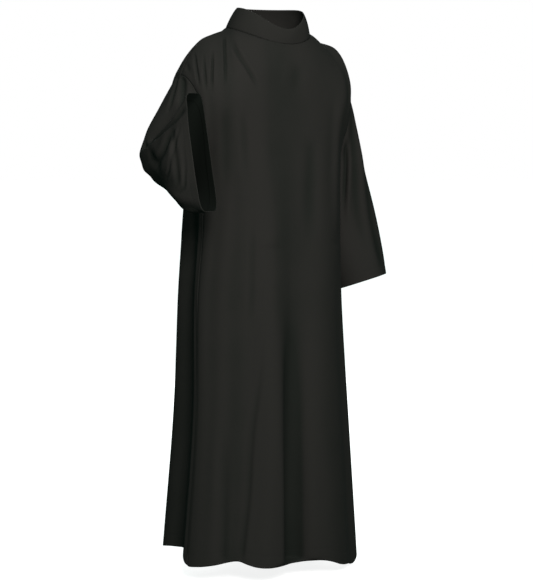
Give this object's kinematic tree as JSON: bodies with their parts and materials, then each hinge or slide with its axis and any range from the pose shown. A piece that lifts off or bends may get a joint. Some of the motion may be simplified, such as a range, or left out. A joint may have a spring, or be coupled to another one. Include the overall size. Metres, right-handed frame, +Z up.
{
  "type": "alb, worn form with one arm raised",
  "caption": "Full-length black cloth vestment with a soft folded collar, wide sleeves and a flared skirt, kept hollow as worn with one sleeve raised.",
  "frame": {"origin": "middle of the shoulder line between the two shoulders, inside the garment, where it is carried", "axes": "+Z up, the front faces -Y, +X is the wearer's left"},
  "size_m": [0.7922, 0.4613, 1.5451],
  "materials": {
    "body_cloth": "matte fine twill, faint sheen",
    "sleeve_cloth": "matte fine twill, faint sheen",
    "collar_cloth": "matte fine twill folded double"
  },
  "bodies": {
    "root": {"front": "body_cloth", "back": "body_cloth", "sleeve_left": "sleeve_cloth", "sleeve_right": "sleeve_cloth", "collar": "collar_cloth"}
  },
  "joints": []
}
